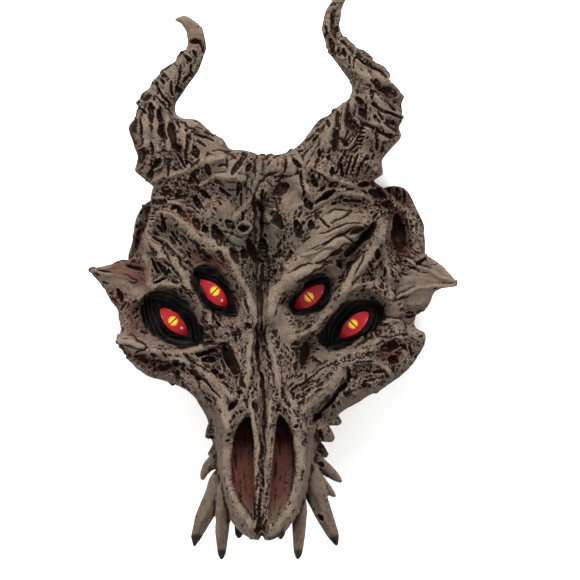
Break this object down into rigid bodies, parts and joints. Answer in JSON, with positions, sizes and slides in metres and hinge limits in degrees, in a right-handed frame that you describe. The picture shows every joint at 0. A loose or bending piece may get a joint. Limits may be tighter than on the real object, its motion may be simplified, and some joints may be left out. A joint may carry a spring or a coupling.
{
  "type": "horned demon skull mask",
  "caption": "Horned demon skull mask in moulded latex, with a long fanged muzzle, slit-pupil eyes in dark sockets and an open back; it lies on its rim.",
  "frame": {"origin": "middle of the mask's plan, at the level of its flat back rim", "axes": "+Z out of the face, +Y from the fangs to the horns, +X to the viewer's right when looking at the face"},
  "size_m": [0.2972, 0.4575, 0.1272],
  "materials": {
    "painted_latex": "matt bone-coloured latex, dark brown wash in every hollow",
    "gloss_eye": "clear gloss over a red eye with a yellow slit-pupil iris"
  },
  "bodies": {
    "root": {"mask_shell": "painted_latex", "eye_outer_left": "gloss_eye", "eye_inner_left": "gloss_eye", "eye_inner_right": "gloss_eye", "eye_outer_right": "gloss_eye"}
  },
  "joints": []
}
